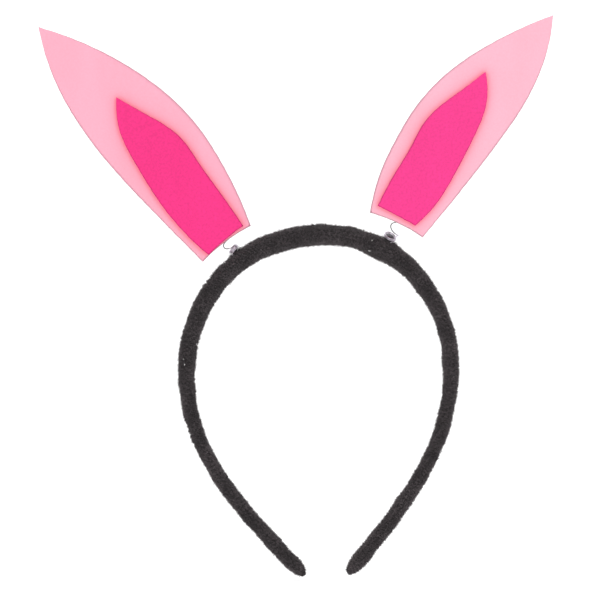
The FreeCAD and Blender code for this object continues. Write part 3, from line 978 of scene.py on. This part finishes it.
def foam_material(name, colour, edge_painted_light_and_shade, grain, depth):
    """Craft foam: fine closed cells that shade it by grain and dent it by depth, faint creases, a
    cut edge colour painted as light on the light pink and as shade on the hot pink, and the hot pink's
    bounced light painted beside it."""
    material, tree, shader = new_material(name, rough=0.72, specular=0.25)
    cells = noise_node(tree, 0.5, detail=4.0).outputs["Fac"]
    speckled = ramp_node(tree, cells, [(0.32, shade(colour, 1 - grain)),
                                       (0.68, shade(colour, 1 + grain / 4))])
    cloudy = noise_node(tree, 9.0, detail=2.0, stretch=(1.0, 1.0, 0.45)).outputs["Fac"]
    soft = ramp_node(tree, cloudy, [(0.35, (0.96, 0.95, 0.95)), (0.65, (1, 1, 1))])
    toned = mix_node(tree, speckled, soft, 1.0, "MULTIPLY")
    # painted bounced light from the hot pink sheet
    bounce_painted = mix_node(tree, toned, PAINTED_BOUNCE_PINK, attribute_node(tree, "painted_bounce"))
    # cut edge colour: painted light on the light pink, painted shade on the hot pink
    edge_painted = mix_node(tree, bounce_painted, edge_painted_light_and_shade, attribute_node(tree, "edge"))
    tree.links.new(edge_painted, shader.inputs["Base Color"])
    first = bump_node(tree, cloudy, 0.25, shader)
    bump_node(tree, cells, depth, shader, first)
    return material


def film_material():
    """The paper-thin self-adhesive backing: pale amber, a little glossy."""
    material, tree, shader = new_material("adhesive_film", rough=0.35)
    colour = ramp_node(tree, noise_node(tree, 1.5).outputs["Fac"],
                       [(0.3, FILM_COLOURS[0]), (0.7, FILM_COLOURS[1])])
    tree.links.new(colour, shader.inputs["Base Color"])
    return material


def wire_material(name, dark, light):
    """Drawn steel wire with faint drawing marks, in the colour pair it is given: painted light and
    lilac reflection on the coil, painted shade on the tail.
    """
    material, tree, shader = new_material(name, rough=0.28)
    mottle = noise_node(tree, 0.5, detail=3.0).outputs["Fac"]
    colour = ramp_node(tree, mottle, [(0.3, dark), (0.7, light)])
    tree.links.new(colour, shader.inputs["Base Color"])
    shader.inputs["Metallic"].default_value = 1.0
    marks = noise_node(tree, 0.08, detail=2.0, stretch=(1, 1, 0.15)).outputs["Fac"]
    bump_node(tree, marks, 0.004, shader)
    return material


def glue_material(name, dark, light, clear):
    """Glossy hot-melt glue with a few cloudy streaks; clear is the share of light let through."""
    material, tree, shader = new_material(name, rough=0.12)
    streaks = noise_node(tree, 0.8, detail=2.0).outputs["Fac"]
    colour = ramp_node(tree, streaks, [(0.35, dark), (0.65, light)])
    tree.links.new(colour, shader.inputs["Base Color"])
    shader.inputs["Transmission Weight"].default_value = clear
    shader.inputs["IOR"].default_value = 1.48
    bump_node(tree, noise_node(tree, 0.7, detail=1.0).outputs["Fac"], 0.06, shader)
    return material


def thread_material(name, dark, light):
    """Spun thread, finely mottled."""
    material, tree, shader = new_material(name, rough=0.8, specular=0.2)
    mottle = noise_node(tree, 0.15, detail=3.0).outputs["Fac"]
    colour = ramp_node(tree, mottle, [(0.3, dark), (0.7, light)])
    tree.links.new(colour, shader.inputs["Base Color"])
    shader.inputs["Sheen Weight"].default_value = 0.3
    return material


def core_material():
    """Moulded black plastic, inside the band."""
    material, tree, shader = new_material("core_plastic", rough=0.4)
    colour = ramp_node(tree, noise_node(tree, 2.0).outputs["Fac"],
                       [(0.3, CORE_BLACK[0]), (0.7, CORE_BLACK[1])])
    tree.links.new(colour, shader.inputs["Base Color"])
    bump_node(tree, noise_node(tree, 0.2).outputs["Fac"], 0.01, shader)
    return material


def padding_material():
    """Open-cell padding foam, inside the band."""
    material, tree, shader = new_material("padding_foam", rough=0.9, specular=0.1)
    cells = noise_node(tree, 0.6, detail=4.0).outputs["Fac"]
    colour = ramp_node(tree, cells, [(0.35, PADDING_GREY[0]), (0.65, PADDING_GREY[1])])
    tree.links.new(colour, shader.inputs["Base Color"])
    bump_node(tree, cells, 0.2, shader)
    return material


# ---------------------------------------------------------------- stage

def make_camera():
    data = bpy.data.cameras.new("camera")
    data.lens = LENS
    camera = bpy.data.objects.new("camera", data)
    bpy.context.scene.collection.objects.link(camera)
    roll = math.radians(VIEW_ROLL)
    right = Vector((math.cos(roll), 0, -math.sin(roll)))
    up = Vector((math.sin(roll), 0, math.cos(roll)))
    turned = Matrix((right, up, Vector((0, -1, 0)))).transposed()
    camera.matrix_world = turned.to_4x4()
    camera.location = (Vector(VIEW_CENTRE) - Vector((0, VIEW_DISTANCE, 0))) * MM
    bpy.context.scene.camera = camera


def make_stage():
    """A white floor that curves up into a backdrop."""
    floor = CAD_BOX[0].z / MM - FLOOR_GAP
    profile = [(-SWEEP_HALF, floor), (SWEEP_START, floor)]
    profile += [(SWEEP_START + SWEEP_RADIUS * math.sin(t), floor + SWEEP_RADIUS * (1 - math.cos(t)))
                for t in np.linspace(0, math.pi / 2, SWEEP_POINTS)[1:]]
    profile += [(SWEEP_START + SWEEP_RADIUS, SWEEP_HALF)]
    points = [(x, y, z) for x in (-SWEEP_HALF, SWEEP_HALF) for y, z in profile]
    count = len(profile)
    faces = [(i, count + i, count + i + 1, i + 1) for i in range(count - 1)]
    sweep = mesh_object("floor_sweep", points, faces)
    material, _, shader = new_material("white_sweep", rough=0.9, specular=0.1)
    shader.inputs["Base Color"].default_value = (SWEEP_GREY, SWEEP_GREY, SWEEP_GREY, 1)
    shader.inputs["Emission Color"].default_value = (1, 1, 1, 1)
    shader.inputs["Emission Strength"].default_value = SWEEP_GLOW
    sweep.data.materials.append(material)


def make_light(name, place, power, size):
    data = bpy.data.lights.new(name, "AREA")
    data.energy = power
    data.size = size * MM
    light = bpy.data.objects.new(name, data)
    bpy.context.scene.collection.objects.link(light)
    light.location = Vector(place) * MM
    light.rotation_euler = (Vector(VIEW_CENTRE) - Vector(place)).to_track_quat("-Z", "Y").to_euler()


def make_lights():
    world = bpy.data.worlds.new("studio")
    world.use_nodes = True
    background = world.node_tree.nodes["Background"]
    background.inputs["Color"].default_value = (1, 1, 1, 1)
    background.inputs["Strength"].default_value = WORLD_STRENGTH
    bpy.context.scene.world = world
    for name, (place, power, size) in LIGHTS.items():
        make_light(name, place, power, size)
    bpy.context.scene.view_settings.view_transform = "Standard"


# ---------------------------------------------------------------- assembly

def main():
    materials = {
        "plush": plush_material(),
        "film": film_material(),
        "wire_coil": wire_material("coil_wire_painted_light", *COIL_WIRE_PAINTED_LIGHT),
        "wire_tail": wire_material("tail_wire_painted_shade", *TAIL_WIRE_PAINTED_SHADE),
        "coil_glue": glue_material("coil_glue", *COIL_GLUE, clear=0.0),
        "wire_glue": glue_material("wire_glue", *WIRE_GLUE, clear=WIRE_GLUE_CLEAR),
        "stitch": thread_material("black_thread", *BLACK_THREAD),
        "lint": thread_material("lint_fibre", *LINT_FIBRE),
    }
    for side in ("left", "right"):
        # lit and shaded copies of the two pinks, one pair per ear
        light, hot = LIGHT_PINK_LIT_PER_EAR[side], HOT_PINK_LIT_PER_EAR[side]
        # the hot pink's cut edge is painted darker: painted shade
        hot_cut_painted_shade = shade(hot, HOT_CUT_PAINTED_SHADE)
        materials["light_" + side] = foam_material("light_pink_" + side, light, CUT_PINK_PAINTED_LIGHT, **LIGHT_CELLS)
        materials["hot_" + side] = foam_material("hot_pink_" + side, hot, hot_cut_painted_shade, **HOT_CELLS)
    make_camera()
    make_stage()
    make_lights()
    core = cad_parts["plastic_core"].data.materials
    core.clear()
    core.append(core_material())
    make_padding(padding_material())
    make_cover(materials["plush"])
    for number in range(1, HAIR_PIECES + 1):
        make_pile(number, materials["plush"])
    make_lint(materials["lint"])
    for side in ("left", "right"):
        make_spring(side, materials)
        make_ear(side, materials)
        make_glue(side, materials)
        make_stitches(side, materials["stitch"])


main()
